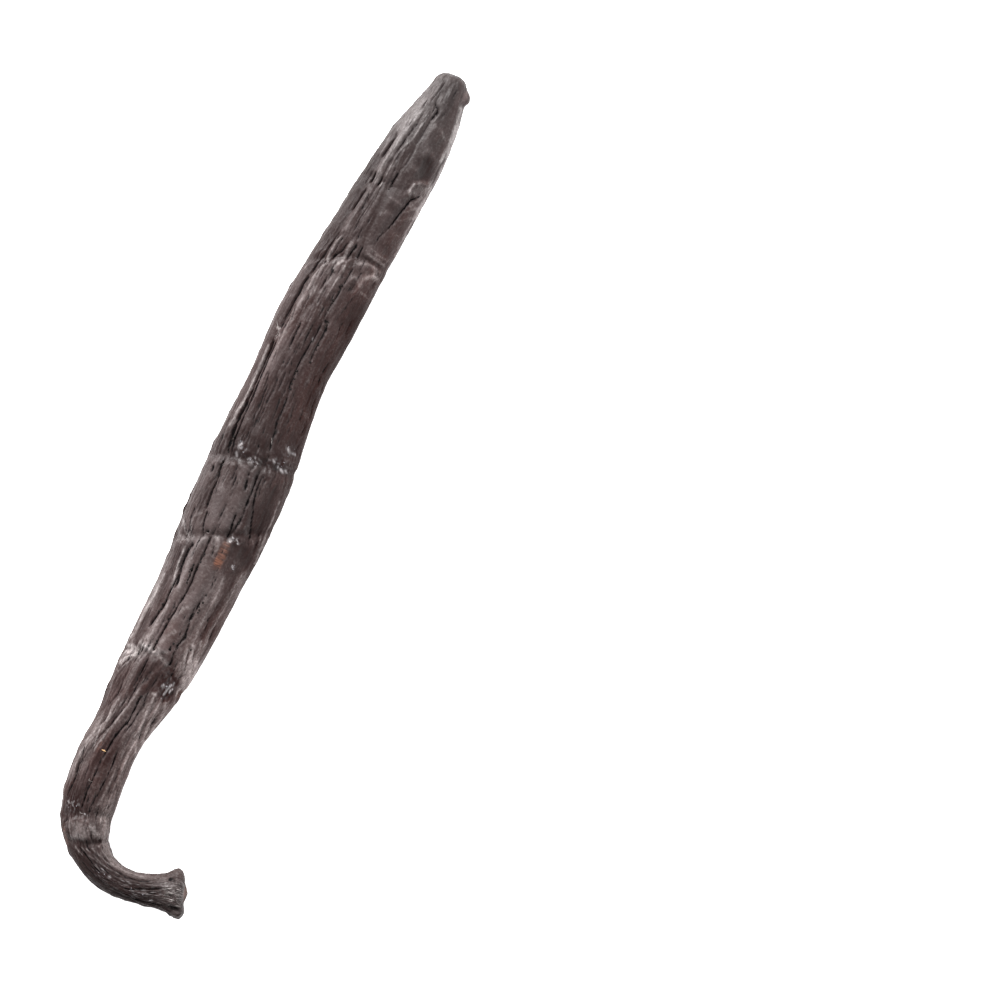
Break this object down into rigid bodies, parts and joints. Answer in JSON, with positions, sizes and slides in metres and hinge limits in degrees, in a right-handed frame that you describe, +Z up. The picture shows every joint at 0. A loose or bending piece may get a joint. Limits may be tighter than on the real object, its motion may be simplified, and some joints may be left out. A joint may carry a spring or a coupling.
{
  "type": "vanilla pod",
  "caption": "Cured vanilla pod lying flat: long wrinkled seed pod with a blunt tip, cross creases and a thin stalk end that hooks round and flares.",
  "frame": {"origin": "on the surface the pod lies on, below the middle of its bounding box", "axes": "+Z up from the surface; the pod's blunt tip points along +Y, and its stalk end, at -Y, hooks round towards +X"},
  "size_m": [0.03, 0.142, 0.008],
  "materials": {
    "pod_skin": "cured, oily, leathery pod skin, dark grey-brown with darker furrows and a satin sheen"
  },
  "bodies": {
    "root": {"pod": "pod_skin"}
  },
  "joints": []
}
